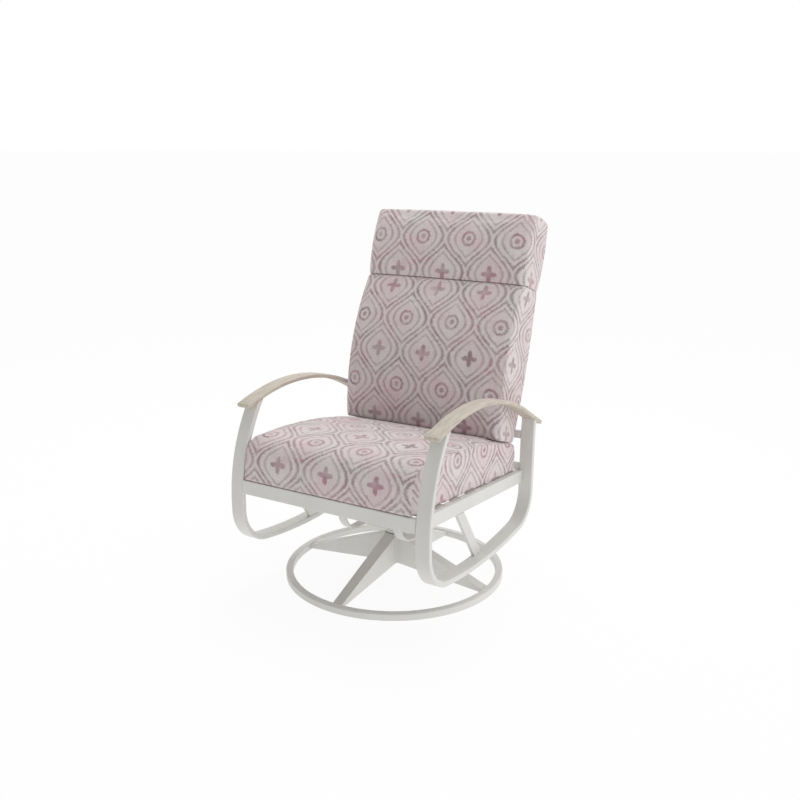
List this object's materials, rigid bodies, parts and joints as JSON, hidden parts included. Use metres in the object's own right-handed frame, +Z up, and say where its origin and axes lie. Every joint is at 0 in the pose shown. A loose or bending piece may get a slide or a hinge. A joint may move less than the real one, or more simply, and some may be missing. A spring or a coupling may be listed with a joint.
{
  "type": "swivel patio chair",
  "caption": "High-back swivel rocker patio chair: ring base, C-spring rocker, bent metal arm loops with arched wood-look caps, and seat, back and head pads in printed fabric.",
  "frame": {"origin": "on the floor, on the vertical axis that the seat swivels about, in the middle of the base ring", "axes": "+Z up; -Y the way the sitter faces; +X to the right of a viewer in front of the chair"},
  "size_m": [0.6859, 0.8822, 1.107],
  "materials": {
    "powder_coated_frame": "satin",
    "wood_look_polymer": "satin",
    "cushion_fabric": "matte",
    "strap_webbing": "matte",
    "plated_steel": "satin",
    "bush_nylon": "matte"
  },
  "bodies": {
    "base": {"base_ring": "powder_coated_frame", "spoke_right": "powder_coated_frame", "spoke_rear": "powder_coated_frame", "spoke_left": "powder_coated_frame", "spoke_front": "powder_coated_frame", "hub_tube": "powder_coated_frame", "spindle_bushes": "bush_nylon"},
    "swivel": {"spindle": "powder_coated_frame", "retaining_washer": "plated_steel", "spindle_nut": "plated_steel", "swivel_plate": "powder_coated_frame", "lower_spring_bolts": "plated_steel", "lower_spring_nuts": "plated_steel", "rocker_spring_left": "powder_coated_frame", "rocker_spring_right": "powder_coated_frame", "lower_spring_clamps": "powder_coated_frame"},
    "seat": {"upper_spring_bolts": "plated_steel", "upper_spring_clamps": "powder_coated_frame", "front_cross_bar": "powder_coated_frame", "rear_cross_bar": "powder_coated_frame", "arm_loop_left": "powder_coated_frame", "arm_loop_right": "powder_coated_frame", "arm_cap_left": "wood_look_polymer", "arm_cap_right": "wood_look_polymer", "front_rail": "powder_coated_frame", "side_rail_left": "powder_coated_frame", "side_rail_right": "powder_coated_frame", "brace_left": "powder_coated_frame", "brace_right": "powder_coated_frame", "back_upright_left": "powder_coated_frame", "back_upright_right": "powder_coated_frame", "lower_back_rail": "powder_coated_frame", "upper_back_rail": "powder_coated_frame", "back_top_rail": "powder_coated_frame", "seat_straps": "strap_webbing", "back_straps": "strap_webbing", "seat_cushion": "cushion_fabric", "back_cushion": "cushion_fabric", "headrest_cushion": "cushion_fabric"}
  },
  "joints": [
    {"name": "swivel", "type": "hinge", "parent": "base", "child": "swivel", "pos_m": [0, 0, 0.13], "axis": [0, 0, 1], "continuous": true},
    {"name": "rock", "type": "hinge", "parent": "swivel", "child": "seat", "pos_m": [0, -0.094, 0.2313], "axis": [-1, 0, 0], "range_deg": [-8, 12], "stiffness_Nm_per_rad": 450, "springref_deg": -4.9, "deforming": ["rocker_spring_left", "rocker_spring_right"]}
  ]
}
